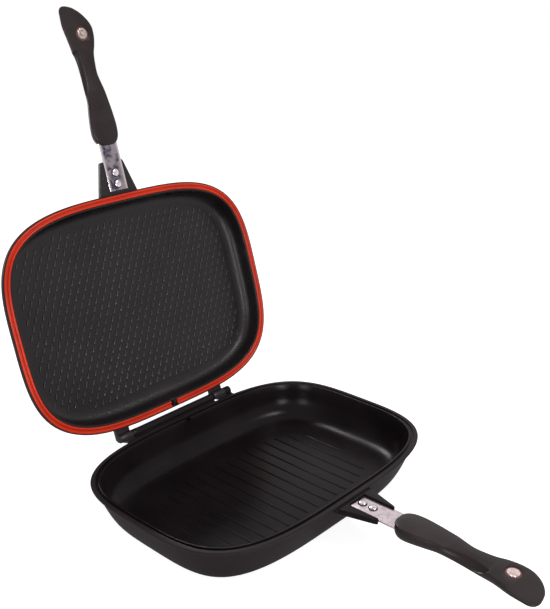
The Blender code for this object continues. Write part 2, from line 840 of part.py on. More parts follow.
# Finishes
cast = material("cast_coating", (0.042, 0.040, 0.040), 0.50)
silicone = material("seal_silicone", (0.85, 0.12, 0.035), 0.45)
steel = material("polished_steel", (0.80, 0.80, 0.81), 0.16, 1.0)
grip_plastic = material("grip_plastic", (0.022, 0.018, 0.018), 0.50)
magnet_metal = material("magnet_plating", (0.72, 0.71, 0.70), 0.25, 1.0)
ring_plastic = material("magnet_ring", (0.42, 0.10, 0.06), 0.50)

# Pan
pan_mesh = loft("pan_body", [rim_ring(inset, z) for inset, z in pan_profile()])
smooth(pan_mesh)
pan_body = add_part("pan_body", pan_mesh, cast)

ribs = bmesh.new()
for i in range(rib_count):
    x = (i - (rib_count - 1) / 2) * rib_pitch
    reach = abs(x) / grill_half_length
    half = grill_half_width * max(0, 1 - reach ** grill_power) ** (1 / grill_power)
    rib = bmesh.ops.create_cube(ribs, size=1.0)["verts"]
    bmesh.ops.scale(ribs, vec=(rib_width, 2 * half, rib_height + rib_sink), verts=rib)
    for corner in rib:
        if corner.co.z > 0:
            corner.co.x *= rib_top_share
            corner.co.y -= rib_height * (1 if corner.co.y > 0 else -1)
    middle_z = floor_thickness + (rib_height - rib_sink) / 2
    bmesh.ops.translate(ribs, vec=(x, -grill_offset, middle_z), verts=rib)
ribs_mesh = bpy.data.meshes.new("ribs")
ribs.to_mesh(ribs_mesh)
ribs.free()
boolean(pan_body, add_helper("ribs", ribs_mesh), "UNION")

join_bracket(pan_body, pan_side)
for hinge_label, hinge_centre in hinge_centres:
    join_knuckle(pan_body, hinge_label, hinge_centre)

pocket_near = rim_half_width - groove_start - groove_side
lug_pocket = box(
    "lug_pocket",
    (-lug_pocket_width / 2, pocket_near - lug_pocket_length, pan_height - lug_pocket_depth),
    (lug_pocket_width / 2, pocket_near, pan_height + overrun),
)
boolean(pan_body, add_helper("lug_pocket", lug_pocket), "DIFFERENCE")

# Hinge pins, fixed in the knuckles
for hinge_label, hinge_centre in hinge_centres:
    barrel_start, _, _, knuckle_end = hinge_span(hinge_centre)
    pin = rod(
        "hinge_pin_" + hinge_label,
        (barrel_start + foot_length + barrel_end_wall + clearance, hinge_y, parting_z),
        (knuckle_end - pin_end_gap, hinge_y, parting_z),
        pin_radius,
    )
    smooth(pin)
    add_part("hinge_pin_" + hinge_label, pin, steel)

# Lid
lid_mesh = loft("lid_body", [rim_ring(inset, z) for inset, z in lid_profile()])
smooth(lid_mesh)
lid_body = add_part("lid_body", lid_mesh, cast, True)
join_bracket(lid_body, lid_side)
for hinge_label, hinge_centre in hinge_centres:
    join_barrel(lid_body, hinge_label, hinge_centre)

# The seal's groove is cut after the bracket and the arms, so that it runs clear past them
seat_outer = seal_outer_inset - clearance
seat_inner = seal_outer_inset + seal_width + clearance
seat_roof = lid_face_z + seal_groove_depth
groove_corners = (
    (seat_outer, lid_face_z - overrun),
    (seat_outer, seat_roof),
    (seat_inner, seat_roof),
    (seat_inner, lid_face_z - overrun),
)
groove_rings = [rim_ring(inset, z, seal_points) for inset, z in groove_corners]
groove = loft("seal_groove", groove_rings, closed=True)
boolean(lid_body, add_helper("seal_groove", groove, True), "DIFFERENCE")

# The lug crosses the seal's gap, and its tongue drops into the pan's pocket
web_inner = rim_half_width - seat_inner - clearance
web_outer = rim_half_width - seat_outer + clearance
lug_low = pan_height + clearance
lug_high = lid_face_z + clearance
lug_outline = (
    (web_inner, seat_roof + clearance),
    (web_inner, lug_high),
    (web_inner + 2 * clearance, lug_high),
    (web_inner + 2 * clearance, pan_height - lug_reach),
    (pocket_near - clearance, pan_height - lug_reach),
    (pocket_near - clearance, lug_low),
    (web_outer - 2 * clearance, lug_low),
    (web_outer - 2 * clearance, lug_high + clearance),
    (web_outer, lug_high + clearance),
    (web_outer, seat_roof + clearance),
)
lug = slab("lug", lug_outline, lug_width, across(0))
boolean(lid_body, add_helper("lug", lug, True), "UNION")

seal = seal_mesh()
smooth(seal)
add_part("lid_seal", seal, silicone, True)

# Handles
add_handle(pan_side, pan_grip_end_length)
add_handle(lid_side, lid_grip_end_length)
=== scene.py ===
from math import asin, atan2, cos, pi, radians, sin

import bmesh
import bpy
from mathutils import Matrix, Vector


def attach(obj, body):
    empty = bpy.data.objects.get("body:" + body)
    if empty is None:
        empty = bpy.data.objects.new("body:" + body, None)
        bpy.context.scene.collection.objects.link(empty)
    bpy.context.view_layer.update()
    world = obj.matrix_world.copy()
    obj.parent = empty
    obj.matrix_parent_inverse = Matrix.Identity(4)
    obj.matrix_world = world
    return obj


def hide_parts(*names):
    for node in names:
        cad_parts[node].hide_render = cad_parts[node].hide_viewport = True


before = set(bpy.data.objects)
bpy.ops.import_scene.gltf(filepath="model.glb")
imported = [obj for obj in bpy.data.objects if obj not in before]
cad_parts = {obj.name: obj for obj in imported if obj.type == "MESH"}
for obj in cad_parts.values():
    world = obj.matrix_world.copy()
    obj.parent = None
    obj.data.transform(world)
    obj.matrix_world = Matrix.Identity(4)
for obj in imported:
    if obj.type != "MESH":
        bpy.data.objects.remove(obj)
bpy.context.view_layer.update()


# The pan: one thick aluminium casting with a rolled rim, a seal groove behind it and ribs on its
# floor, coated dark all over. The handle's bracket, the two hinge knuckles and the shelf between
# them are cast with it, so they are joined to the shell here.

rim_half_length = 0.1800
rim_half_width = 0.1314
rim_power = 3.46  # how square the oval outline is
rim_steps = 160
rim_lip = 0.0010  # how far both castings' edges stay inside the outline
parting_z = 0.0445
hinge_y = 0.1390
pin_bore = 0.0029


def rim_point(angle, inset):
    """A point on the outline that pan and lid share, moved in square to it by the inset."""
    c, s = cos(angle), sin(angle)
    x = abs(c) ** (2 / rim_power)
    y = abs(s) ** (2 / rim_power)
    out = Vector((x ** (rim_power - 1) / rim_half_length, y ** (rim_power - 1) / rim_half_width))
    out.normalize()
    x = (x * rim_half_length - out.x * inset) * (1 if c > 0 else -1)
    y = (y * rim_half_width - out.y * inset) * (1 if s > 0 else -1)
    return x, y


def rim_y(x):
    """How far the outline reaches towards the hinge at a place along it."""
    return rim_half_width * (1 - abs(x / rim_half_length) ** rim_power) ** (1 / rim_power)


def rim_share(place):
    """How far out a place lies, as a share of the way from the middle to the outline."""
    return (abs(place.x / rim_half_length) ** rim_power
            + abs(place.y / rim_half_width) ** rim_power) ** (1 / rim_power)


def select_nothing():
    if bpy.context.object and bpy.context.object.mode != "OBJECT":
        bpy.ops.object.mode_set(mode="OBJECT")
    bpy.ops.object.select_all(action="DESELECT")


def select_only(piece):
    select_nothing()
    piece.select_set(True)
    bpy.context.view_layer.objects.active = piece


def draw_plate(name, corners):
    """A flat sheet with these corners, left in edit mode and selected."""
    select_nothing()
    bpy.ops.mesh.primitive_circle_add(vertices=len(corners), radius=1, fill_type="NGON")
    piece = bpy.context.object
    piece.name = piece.data.name = name
    bpy.ops.object.mode_set(mode="EDIT")
    shape = bmesh.from_edit_mesh(piece.data)
    for vertex, corner in zip(shape.verts, corners):
        vertex.co = corner
    bmesh.update_edit_mesh(piece.data)
    bpy.ops.mesh.select_all(action="SELECT")
    return piece


def pull(move):
    """Extrude what is selected."""
    bpy.ops.mesh.extrude_region_move(TRANSFORM_OT_translate={"value": move})


def pick_faces(test):
    """Select the faces whose middle and normal pass a test."""
    bpy.ops.mesh.select_all(action="DESELECT")
    mesh = bpy.context.object.data
    shape = bmesh.from_edit_mesh(mesh)
    shape.normal_update()
    for face in shape.faces:
        if test(face.calc_center_median(), face.normal):
            face.select_set(True)
    bmesh.update_edit_mesh(mesh)


def follow_section(rows):
    """Carry the selected face through rows of inset from the rim and height."""
    for (inset, z), (next_inset, next_z) in zip(rows, rows[1:]):
        if next_inset == inset:
            pull((0, 0, next_z - z))
        else:
            bpy.ops.mesh.inset(thickness=next_inset - inset, depth=0, use_even_offset=True)
            bpy.ops.transform.translate(value=(0, 0, next_z - z))


def bend(start, corner, end, steps):
    """Rows round a bend, without its first."""
    rows = []
    for i in range(1, steps + 1):
        t = i / steps
        rows.append(tuple(
            (1 - t) ** 2 * a + 2 * t * (1 - t) * b + t * t * c
            for a, b, c in zip(start, corner, end)
        ))
    return rows


def close_shape():
    """Turn every face outwards and leave edit mode."""
    bpy.ops.mesh.select_all(action="SELECT")
    bpy.ops.mesh.normals_make_consistent(inside=False)
    bpy.ops.object.mode_set(mode="OBJECT")


def round_edges(piece, width, segments=2, angle=50):
    """Round the edges that turn by more than the angle."""
    select_only(piece)
    step = piece.modifiers.new("edges", "BEVEL")
    step.width = width
    step.segments = segments
    step.limit_method = "ANGLE"
    step.angle_limit = radians(angle)
    bpy.ops.object.modifier_apply(modifier=step.name)


def combine(piece, tool, operation):
    """Join a shape to a piece or cut it out, and drop the shape."""
    select_only(piece)
    step = piece.modifiers.new("joint", "BOOLEAN")
    step.operation = operation
    step.solver = "EXACT"
    step.object = tool
    bpy.ops.object.modifier_apply(modifier=step.name)
    bpy.data.objects.remove(tool, do_unlink=True)


def bore(piece, middle_x, depth):
    """Drill a piece for the hinge pin, round a place along the hinge axis."""
    select_nothing()
    bpy.ops.mesh.primitive_cylinder_add(
        vertices=32, radius=pin_bore, depth=depth, location=(middle_x, hinge_y, parting_z),
        rotation=(0, pi / 2, 0))
    combine(piece, bpy.context.object, "DIFFERENCE")


def block(low, high):
    """A cuboid between two corners."""
    select_nothing()
    middle = [(a + b) / 2 for a, b in zip(low, high)]
    size = [b - a for a, b in zip(low, high)]
    bpy.ops.mesh.primitive_cube_add(size=1, location=middle, scale=size)
    piece = bpy.context.object
    bpy.ops.object.transform_apply(location=True, rotation=True, scale=True)
    return piece


def copy_piece(piece, name):
    """A copy with its own mesh."""
    twin = piece.copy()
    twin.data = piece.data.copy()
    twin.name = twin.data.name = name
    bpy.context.collection.objects.link(twin)
    return twin


def eye_arc(radius, start, end, steps=28):
    """Corners round the hinge axis from one angle to another, as y and z."""
    turns = [start + (end - start) * i / steps for i in range(steps + 1)]
    return [(hinge_y + radius * cos(a), parting_z + radius * sin(a)) for a in turns]


bracket_half_width = 0.0262
bracket_slot_half_width = 0.0128
bracket_root = 0.0082  # how far it runs in under the rim
bracket_taper = (  # share of the length, half width
    (0.16, bracket_half_width), (0.80, 0.01784), (0.95, 0.0158), (1.0, 0.0145))
bracket_seat_start, bracket_slot_start = 0.0023, 0.0310  # from the outline


def handle_bracket(name, side, drop, length, seat):
    """Two tapering ears with the tang's seat between them, under the parting plane at side 1."""
    ear_near, ear_far = 0.0029 + drop, 0.0095 + drop
    reach = bracket_root + length
    z_near, z_far = parting_z - side * ear_near, parting_z - side * ear_far
    front = bracket_root - rim_half_width
    blank = draw_plate(name, [
        (-bracket_half_width, front, z_near), (bracket_half_width, front, z_near),
        (bracket_half_width, front, z_far), (-bracket_half_width, front, z_far),
    ])
    place, half = 0, bracket_half_width
    for next_place, next_half in bracket_taper:
        pull((0, (place - next_place) * reach, 0))
        bpy.ops.transform.resize(value=(next_half / half, 1, 1), center_override=(0, 0, 0))
        place, half = next_place, next_half
    close_shape()
    round_edges(blank, 0.0010, 3, 40)
    overrun = 0.004
    far_y = -rim_half_width - length - overrun
    for start, depth in ((bracket_seat_start, seat), (bracket_slot_start, ear_far + overrun)):
        low, high = sorted((parting_z + side * 0.001, parting_z - side * depth))
        cut = block((-bracket_slot_half_width, far_y, low),
                    (bracket_slot_half_width, -rim_half_width - start, high))
        combine(blank, cut, "DIFFERENCE")
    return blank


# The sections are rows of inset from the outline and height, both from a seam in the rim's edge
pan_seam_low, pan_seam_high = 0.0428, 0.0432
pan_outside = [(rim_lip, pan_seam_low)]
pan_outside += bend(pan_outside[-1], (0.0010, 0.0421), (0.0022, 0.0413), 4)
pan_outside += bend(pan_outside[-1], (0.0053, 0.03965), (0.0063, 0.0380), 6)
pan_outside += bend(pan_outside[-1], (0.0160, 0.0100), (0.0229, 0.00104), 16)
pan_outside += bend(pan_outside[-1], (0.0237, 0.0), (0.0255, 0.0), 3)

pan_inside = [(rim_lip, pan_seam_high)]
pan_inside += bend(pan_inside[-1], (0.0010, 0.0440), (0.0028, 0.0440), 5)
pan_inside += [(0.0053, 0.0440), (0.0056, 0.0438), (0.0061, 0.0423), (0.0088, 0.0423)]
pan_inside += [(0.0092, 0.0438), (0.0094, 0.0440), (0.0106, 0.0440)]
pan_inside += bend(pan_inside[-1], (0.0112, 0.0440), (0.0114, 0.0434), 3)
pan_inside += [(0.0126, 0.0357), (0.0138, 0.0280)]
pan_inside += bend(pan_inside[-1], (0.0178, 0.0035), (0.0420, 0.0035), 18)

rim_angles = [2 * pi * (i + 0.5) / rim_steps for i in range(rim_steps)]


def cast_shell(name, first_z, rise, rows, other_rows):
    """A shell from two sections, the first carried on from above and the second from below."""
    shell = draw_plate(name, [(*rim_point(a, rim_lip), first_z) for a in rim_angles])
    pull((0, 0, rise))
    follow_section(rows)
    pick_faces(lambda middle, normal: abs(middle.z - first_z) < 0.0001 and abs(normal.z) > 0.9)
    follow_section(other_rows)
    close_shape()
    return shell


pan = cast_shell("pan_shell", pan_seam_low, 0.0004, pan_inside, pan_outside)

# Ribs: one is modelled and the others are copies, longer towards the middle
rib_count, rib_pitch = 16, 0.0155
rib_half_width, rib_half_blank, rib_foot, rib_top = 0.0022, 0.010, 0.0028, 0.0043
rib_longest_half, rib_field_half, rib_shift = 0.072, 0.120, 0.006
rib_top_shares = (0.34, 0.86, 1)  # of its foot's width and length
first_rib = block(
    (-rib_half_width, -rib_half_blank, rib_foot), (rib_half_width, rib_half_blank, rib_top))
select_only(first_rib)
bpy.ops.object.mode_set(mode="EDIT")
pick_faces(lambda middle, normal: normal.z > 0.9)
bpy.ops.transform.resize(value=rib_top_shares, center_override=(0, 0, rib_top))
close_shape()
round_edges(first_rib, 0.0004, 3, 20)
ribs = []
for i in range(rib_count):
    x = (i - (rib_count - 1) / 2) * rib_pitch
    half = rib_longest_half * (1 - abs(x / rib_field_half) ** 4) ** 0.25
    rib = copy_piece(first_rib, "rib")
    for vertex in rib.data.vertices:
        vertex.co.y += (half - rib_half_blank) * (1 if vertex.co.y > 0 else -1) - rib_shift
        vertex.co.x += x
    ribs.append(rib)
bpy.data.objects.remove(first_rib, do_unlink=True)
select_only(ribs[0])
for rib in ribs:
    rib.select_set(True)
bpy.ops.object.join()
combine(pan, ribs[0], "UNION")

pan_bracket = handle_bracket("pan_bracket", side=1, drop=0, length=0.0395, seat=0.0073)
combine(pan, pan_bracket, "UNION")

# Knuckles, each an eye on a web under the rim
web_top, web_foot = 0.0426, 0.0340
knuckle_radius = 0.0054
lift = atan2(web_top - parting_z, rim_half_width - hinge_y)
for start, end in ((-0.069, -0.060), (0.076, 0.085)):
    near_y = rim_y(max(abs(start), abs(end)))
    corners = [(near_y - 0.0032, web_top), (rim_half_width, web_top)]
    corners += eye_arc(knuckle_radius, lift + 2 * pi, -pi / 2)
    corners.append((near_y - 0.0085, web_foot))
    knuckle = draw_plate("knuckle", [(start, y, z) for y, z in corners])
    pull((end - start, 0, 0))
    close_shape()
    round_edges(knuckle, 0.0004, 2, 50)
    combine(pan, knuckle, "UNION")
    bore(pan, (start + end) / 2, 0.02)

# The shelf cast between the knuckles, with a round edge along the hinge's axis
shelf_start, shelf_end = -0.0610, 0.0555
shelf_top, shelf_foot = web_top - 0.0004, 0.0375
shelf_root_y = rim_half_width - 0.0075
shelf_radius = knuckle_radius - 0.0002
corners = [(shelf_root_y, shelf_top), (rim_half_width, shelf_top)]
corners += eye_arc(shelf_radius, lift + 2 * pi, -pi / 2)
corners.append((shelf_root_y, shelf_foot))
shelf = draw_plate("shelf", [(shelf_start, y, z) for y, z in corners])
pull((shelf_end - shelf_start, 0, 0))
close_shape()
round_edges(shelf, 0.0004, 2, 50)
combine(pan, shelf, "UNION")

# The pocket at the back of the rim that takes the lid's lug
pocket_half_width = 0.0036
pocket = block((-pocket_half_width, 0.1143, 0.0400), (pocket_half_width, 0.1253, 0.0480))
combine(pan, pocket, "DIFFERENCE")


def material_nodes(name):
    """A new material's node tree, its shader, and the Object coordinates."""
    made = bpy.data.materials.new(name)
    made.use_nodes = True
    tree = made.node_tree
    shader = tree.nodes["Principled BSDF"]
    place = tree.nodes.new("ShaderNodeTexCoord").outputs["Object"]
    return made, tree, shader, place


def grain_group():
    """Fine grain and broad patches, for anything coated or moulded."""
    group = bpy.data.node_groups.new("grain", "ShaderNodeTree")
    face = group.interface
    face.new_socket("Vector", in_out="INPUT", socket_type="NodeSocketVector")
    for name, value in (("Grain Scale", 1500), ("Patch Scale", 20)):
        face.new_socket(name, in_out="INPUT", socket_type="NodeSocketFloat").default_value = value
    face.new_socket("Grain", in_out="OUTPUT", socket_type="NodeSocketFloat")
    face.new_socket("Patches", in_out="OUTPUT", socket_type="NodeSocketFloat")
    ins = group.nodes.new("NodeGroupInput")
    outs = group.nodes.new("NodeGroupOutput")
    for scale, detail, result in (("Grain Scale", 2, "Grain"), ("Patch Scale", 4, "Patches")):
        noise = group.nodes.new("ShaderNodeTexNoise")
        noise.inputs["Detail"].default_value = detail
        group.links.new(ins.outputs["Vector"], noise.inputs["Vector"])
        group.links.new(ins.outputs[scale], noise.inputs["Scale"])
        group.links.new(noise.outputs["Fac"], outs.inputs[result])
    return group


grain = grain_group()


def blend_values(tree, mask, low, high, spread=(0.35, 0.65)):
    """A value that follows a mask between two ends."""
    step = tree.nodes.new("ShaderNodeMapRange")
    step.inputs["From Min"].default_value, step.inputs["From Max"].default_value = spread
    step.inputs["To Min"].default_value, step.inputs["To Max"].default_value = low, high
    tree.links.new(mask, step.inputs["Value"])
    return step.outputs["Result"]


def blend_colours(tree, mask, low, high):
    """A colour that follows a mask between two ends."""
    step = tree.nodes.new("ShaderNodeMix")
    step.data_type = "RGBA"
    step.inputs["A"].default_value = (*low, 1)
    step.inputs["B"].default_value = (*high, 1)
    tree.links.new(mask, step.inputs["Factor"])
    return step.outputs["Result"]


def grained_finish(name, low, high, rough, scale, depth, patch=20, level=0.5):
    """A coated or moulded surface: its two tones, its roughness range and its grain."""
    made, tree, shader, place = material_nodes(name)
    marks = tree.nodes.new("ShaderNodeGroup")
    marks.node_tree = grain
    marks.inputs["Grain Scale"].default_value = scale
    marks.inputs["Patch Scale"].default_value = patch
    tree.links.new(place, marks.inputs["Vector"])
    tone = blend_values(tree, marks.outputs["Patches"], 0, 1)
    tree.links.new(blend_colours(tree, tone, low, high), shader.inputs["Base Color"])
    gloss = blend_values(tree, marks.outputs["Patches"], *rough)
    tree.links.new(gloss, shader.inputs["Roughness"])
    bump = tree.nodes.new("ShaderNodeBump")
    bump.inputs["Strength"].default_value = 1
    bump.inputs["Distance"].default_value = depth
    tree.links.new(marks.outputs["Grain"], bump.inputs["Height"])
    tree.links.new(bump.outputs["Normal"], shader.inputs["Normal"])
    shader.inputs["Specular IOR Level"].default_value = level
    return made


def dress(piece, material, body, slot, *nodes, angle=35):
    """Shade a finished piece, give it its material and set it on its body."""
    select_only(piece)
    bpy.ops.object.shade_smooth_by_angle(angle=radians(angle))
    piece.data.materials.clear()
    piece.data.materials.append(material)
    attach(piece, body)
    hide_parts(*nodes)


def paint_outside(piece, material, test):
    """Give the faces whose middle and normal pass a test a second material."""
    piece.data.materials.append(material)
    for face in piece.data.polygons:
        if test(face.center, face.normal):
            face.material_index = 1


def is_pan_outside(middle, normal):
    """True under the casting, on its outer wall and on its rolled edge."""
    share = rim_share(middle)
    outward = middle.x * normal.x + middle.y * normal.y > 0
    return share < 1.004 and (
        share > 0.968 or normal.z < -0.3
        or (outward and share > 0.8 and middle.z < 0.0415))


pan_coating = grained_finish(
    "pan_coating", (0.0065, 0.0048, 0.0052), (0.0095, 0.0072, 0.0078), (0.20, 0.27),
    scale=1200, depth=0.00010, level=0.075)
outer_paint = grained_finish(
    "outer_paint", (0.017, 0.0125, 0.0140), (0.022, 0.0165, 0.0185), (0.42, 0.50),
    scale=1100, depth=0.00004, level=0.05)
dress(pan, pan_coating, "pan", "cast_coating", "pan_body", angle=28)
paint_outside(pan, outer_paint, is_pan_outside)


# The two hinge pins: short lengths of steel rod, pressed into the pan's knuckles, on which the
# lid's barrels turn. Little of them shows, so the frame's own pins are kept.

def streak_group():
    """Fine lines along one way and soft cloudy patches, for polished metal."""
    group = bpy.data.node_groups.new("polish", "ShaderNodeTree")
    face = group.interface
    face.new_socket("Vector", in_out="INPUT", socket_type="NodeSocketVector")
    for name, value in (("Line Scale", 900), ("Cloud Scale", 60)):
        face.new_socket(name, in_out="INPUT", socket_type="NodeSocketFloat").default_value = value
    face.new_socket("Lines", in_out="OUTPUT", socket_type="NodeSocketFloat")
    face.new_socket("Clouds", in_out="OUTPUT", socket_type="NodeSocketFloat")
    ins = group.nodes.new("NodeGroupInput")
    outs = group.nodes.new("NodeGroupOutput")
    stretch = group.nodes.new("ShaderNodeMapping")
    stretch.inputs["Scale"].default_value = (1.0, 0.03, 0.03)
    group.links.new(ins.outputs["Vector"], stretch.inputs["Vector"])
    lines = group.nodes.new("ShaderNodeTexNoise")
    lines.inputs["Detail"].default_value = 3
    group.links.new(stretch.outputs["Vector"], lines.inputs["Vector"])
    group.links.new(ins.outputs["Line Scale"], lines.inputs["Scale"])
    clouds = group.nodes.new("ShaderNodeTexNoise")
    clouds.inputs["Detail"].default_value = 4
    clouds.inputs["Distortion"].default_value = 0.6
    group.links.new(ins.outputs["Vector"], clouds.inputs["Vector"])
    group.links.new(ins.outputs["Cloud Scale"], clouds.inputs["Scale"])
    group.links.new(lines.outputs["Fac"], outs.inputs["Lines"])
    group.links.new(clouds.outputs["Fac"], outs.inputs["Clouds"])
    return group


polish = streak_group()


def metal_finish(name, low, high, rough, cloud=60, depth=0.000004):
    """Polished metal: the tones of its clouds, its roughness range and the depth of its lines."""
    made, tree, shader, place = material_nodes(name)
    marks = tree.nodes.new("ShaderNodeGroup")
    marks.node_tree = polish
    marks.inputs["Line Scale"].default_value = 1600
    marks.inputs["Cloud Scale"].default_value = cloud
    tree.links.new(place, marks.inputs["Vector"])
    tone = blend_values(tree, marks.outputs["Clouds"], 0, 1, (0.38, 0.56))
    tree.links.new(blend_colours(tree, tone, low, high), shader.inputs["Base Color"])
    tree.links.new(blend_values(tree, marks.outputs["Lines"], *rough), shader.inputs["Roughness"])
    bump = tree.nodes.new("ShaderNodeBump")
    bump.inputs["Strength"].default_value = 1
    bump.inputs["Distance"].default_value = depth
    tree.links.new(marks.outputs["Lines"], bump.inputs["Height"])
    tree.links.new(bump.outputs["Normal"], shader.inputs["Normal"])
    shader.inputs["Metallic"].default_value = 1
    return made


pin_steel = metal_finish("pin_steel", (0.50, 0.49, 0.50), (0.70, 0.69, 0.70), (0.22, 0.34))


def dress_kept(name, material):
    """Give one of the frame's own pieces its material."""
    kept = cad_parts[name].data.materials
    kept.clear()
    kept.append(material)


for name in ("hinge_pin_left", "hinge_pin_right"):
    dress_kept(name, pin_steel)


# The lid: a second casting of the same outline, deeper towards its middle, with a groove in its
# face for the seal. Its bracket, hinge barrels and locating lug are cast with it. It is modelled
# closed and then swung open about the hinge.

open_angle = radians(105.7)
swing = (Matrix.Translation((0, hinge_y, parting_z)) @ Matrix.Rotation(-open_angle, 4, "X")
         @ Matrix.Translation((0, -hinge_y, -parting_z)))

lid_seam_low, lid_seam_high = 0.0470, 0.0491
lid_outside = [(rim_lip, lid_seam_high)]
lid_outside += bend(lid_outside[-1], (0.0010, 0.0512), (0.0031, 0.0512), 5)
lid_outside += [(0.0054, 0.0512)]
lid_outside += bend(lid_outside[-1], (0.0056, 0.0533), (0.0078, 0.0582), 5)
lid_outside += bend(lid_outside[-1], (0.0095, 0.0722), (0.0300, 0.0722), 16)

lid_inside = [(rim_lip, lid_seam_low), (rim_lip, 0.0456)]
lid_inside += bend(lid_inside[-1], (0.0010, 0.0452), (0.0014, 0.0452), 3)
lid_inside += [(0.0018, 0.0452), (0.0019, 0.0453), (0.0019, 0.0486), (0.0096, 0.0486)]
lid_inside += [(0.0096, 0.0453), (0.0097, 0.0452), (0.0106, 0.0452)]
lid_inside += bend(lid_inside[-1], (0.0112, 0.0452), (0.0114, 0.0458), 3)
lid_inside += [(0.0120, 0.0500), (0.0126, 0.0542)]
lid_inside += bend(lid_inside[-1], (0.0132, 0.0682), (0.0280, 0.0682), 16)

lid = cast_shell("lid_shell", lid_seam_low, 0.0021, lid_outside, lid_inside)
lid_bracket = handle_bracket("lid_bracket", side=-1, drop=0.0035, length=0.0372, seat=0.0084)
combine(lid, lid_bracket, "UNION")


def turned_closed(y, z):
    """Where a point of the open lid, from the hinge axis, lies while it is closed."""
    c, s = cos(open_angle), sin(open_angle)
    return hinge_y + y * c - z * s, parting_z + y * s + z * c


def hinge_angle(y, z):
    """The direction of a point from the hinge axis."""
    return atan2(z - parting_z, y - hinge_y)


# Barrels on their arms, each with the heel that stops against the pan's rim
barrel_radius = 0.0060
arm_root, arm_low, arm_high = 0.0014, 0.0455, 0.0508
stop_gap = 0.0003
foot_line = (  # the underside of the open barrel's left part, in barrel radii from the axis
    (-2.0, 0.05), (-1.25, -0.05), (-0.5, -0.48), (0.28, -0.60), (0.95, -0.40), (2.0, -0.20),
    (2.0, -2.0), (-2.0, -2.0),
)
for start, end in ((-0.088, -0.070), (0.057, 0.075)):
    near_y = rim_y(max(abs(start), abs(end)))
    stop_y = rim_y(min(abs(start), abs(end))) - rim_lip + stop_gap - hinge_y
    heel_near, heel_far = turned_closed(stop_y, -0.0007), turned_closed(stop_y, -0.0027)
    heel_back = hinge_angle(*turned_closed(0, -barrel_radius))
    neck = -pi - asin((arm_low - parting_z) / barrel_radius)
    corners = [(near_y - arm_root, arm_high)]
    corners += eye_arc(barrel_radius, pi / 2, heel_back)
    corners += [heel_far, heel_near]
    corners += eye_arc(barrel_radius, hinge_angle(*heel_near), neck, 6)
    corners.append((near_y - arm_root, arm_low))
    barrel = draw_plate("barrel", [(start, y, z) for y, z in corners])
    pull((end - start, 0, 0))
    close_shape()
    corners = [turned_closed(y * barrel_radius, z * barrel_radius) for y, z in foot_line]
    foot = draw_plate("foot", [(start - 0.002, y, z) for y, z in corners])
    pull((0.0085, 0, 0))
    close_shape()
    combine(barrel, foot, "DIFFERENCE")
    bore(barrel, end - 0.003, 0.014)
    round_edges(barrel, 0.0003, 2, 50)
    combine(lid, barrel, "UNION")

# The lug in the seal's gap, with the tongue that drops into the pan's pocket
lug_half_width = 0.0025
lug_corners = (
    (0.1215, 0.0489), (0.1215, 0.0455), (0.1221, 0.0455), (0.1221, 0.0426), (0.1250, 0.0426),
    (0.1250, 0.0443), (0.1292, 0.0443), (0.1292, 0.0458), (0.1298, 0.0458), (0.1298, 0.0489),
)
lug = draw_plate("lug", [(-lug_half_width, y, z) for y, z in lug_corners])
pull((2 * lug_half_width, 0, 0))
close_shape()
round_edges(lug, 0.0003, 2, 50)
combine(lid, lug, "UNION")


def is_lid_outside(middle, normal):
    """True on top of the closed casting, on its outer wall and on its rolled edge."""
    share = rim_share(middle)
    outward = middle.x * normal.x + middle.y * normal.y > 0
    return share < 1.004 and (
        share > 0.983 or normal.z > 0.3
        or (outward and share > 0.8 and middle.z > 0.049))


lid_coating = grained_finish(
    "lid_coating", (0.0075, 0.0055, 0.0060), (0.0110, 0.0082, 0.0088), (0.22, 0.30),
    scale=800, depth=0.00035, level=0.23)
dress(lid, lid_coating, "lid", "cast_coating", "lid_body")
paint_outside(lid, outer_paint, is_lid_outside)
lid.data.transform(swing)


# The pattern on the inside of the lid: low oblong bumps cast in rows, each row set half a step
# from the next, under the same coating. They drip the condensed water back on the food.

bump_half_width, bump_half_length, bump_sides = 0.0012, 0.0040, 12
bump_foot = 0.0684  # just inside the lid's metal
bump_turn = radians(20)
bump_pitch, bump_row_pitch, first_row_y = 0.0101, 0.00885, -0.0975
field_half_length, field_half_width = 0.1500, 0.0985
turns = [2 * pi * i / bump_sides for i in range(bump_sides)]
first_bump = draw_plate("lid_bump", [
    (bump_half_width * cos(a), bump_half_length * sin(a), bump_foot) for a in turns])
for drop, share in ((0.0006, 0.90), (0.00035, 0.78), (0.0002, 0.60)):
    pull((0, 0, -drop))
    bpy.ops.transform.resize(value=(share, 0.5 + share / 2, 1), center_override=(0, 0, bump_foot))
bpy.ops.mesh.inset(thickness=0.0002, depth=0.00008)
close_shape()
first_bump.data.transform(Matrix.Rotation(bump_turn, 4, "Z"))
bumps = []
row, y = 0, first_row_y
while y < -first_row_y + 0.0001:
    for i in range(-16, 17):
        x = i * bump_pitch + (bump_pitch / 2 if row % 2 else 0)
        if abs(x / field_half_length) ** 6 + abs(y / field_half_width) ** 6 < 1:
            bump = copy_piece(first_bump, "lid_bump")
            bump.data.transform(Matrix.Translation((x, y, 0)))
            bumps.append(bump)
    y += bump_row_pitch
    row += 1
bpy.data.objects.remove(first_bump, do_unlink=True)
select_only(bumps[0])
for bump in bumps:
    bump.select_set(True)
bpy.ops.object.join()
bumps = bumps[0]
bumps.data.transform(swing)
# The bumps take a slightly lighter, glossier copy of the lid's coating: the lighter tone is
# painted sheen
bump_coating = grained_finish(
    "bump_coating", (0.008, 0.0065, 0.0070), (0.012, 0.0100, 0.0110), (0.18, 0.26),
    scale=1400, depth=0.00002, level=0.5)
dress(bumps, bump_coating, "lid", "cast_coating", angle=60)


# The seal: one length of red silicone with two ridges, pressed into the groove of the lid. Its
# ends meet the lug at the hinge side.

